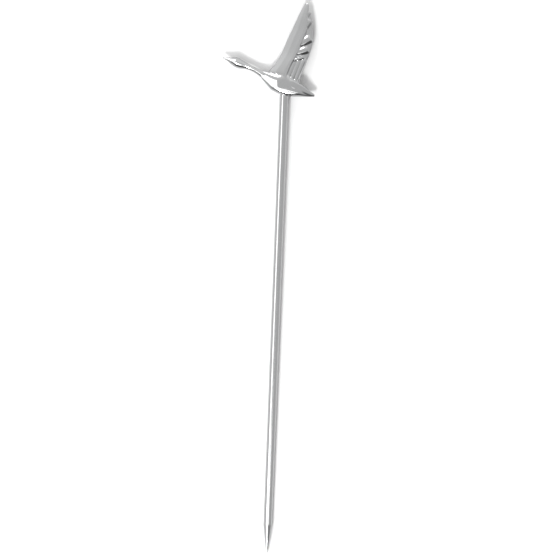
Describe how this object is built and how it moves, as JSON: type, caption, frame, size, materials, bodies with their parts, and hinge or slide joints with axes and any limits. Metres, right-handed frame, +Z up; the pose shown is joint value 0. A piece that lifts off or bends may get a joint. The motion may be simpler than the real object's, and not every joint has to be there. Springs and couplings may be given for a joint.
{
  "type": "cocktail pick",
  "caption": "Long slim metal cocktail pick: a round pointed stem with a cast flying goose, neck stretched and wing raised, on its end.",
  "frame": {"origin": "middle of the bottom of the bounding box of the pick as it lies on a table", "axes": "+Y along the stem from its point towards the bird, +X from the bird's head towards its tail, +Z up from the table"},
  "size_m": [0.0212, 0.126, 0.0038],
  "materials": {
    "cast_metal": "bright polished casting with a slight unevenness",
    "drawn_wire": "bright polished drawn wire with faint lengthwise lines"
  },
  "bodies": {
    "root": {"flying_bird": "cast_metal", "pointed_stem": "drawn_wire"}
  },
  "joints": []
}
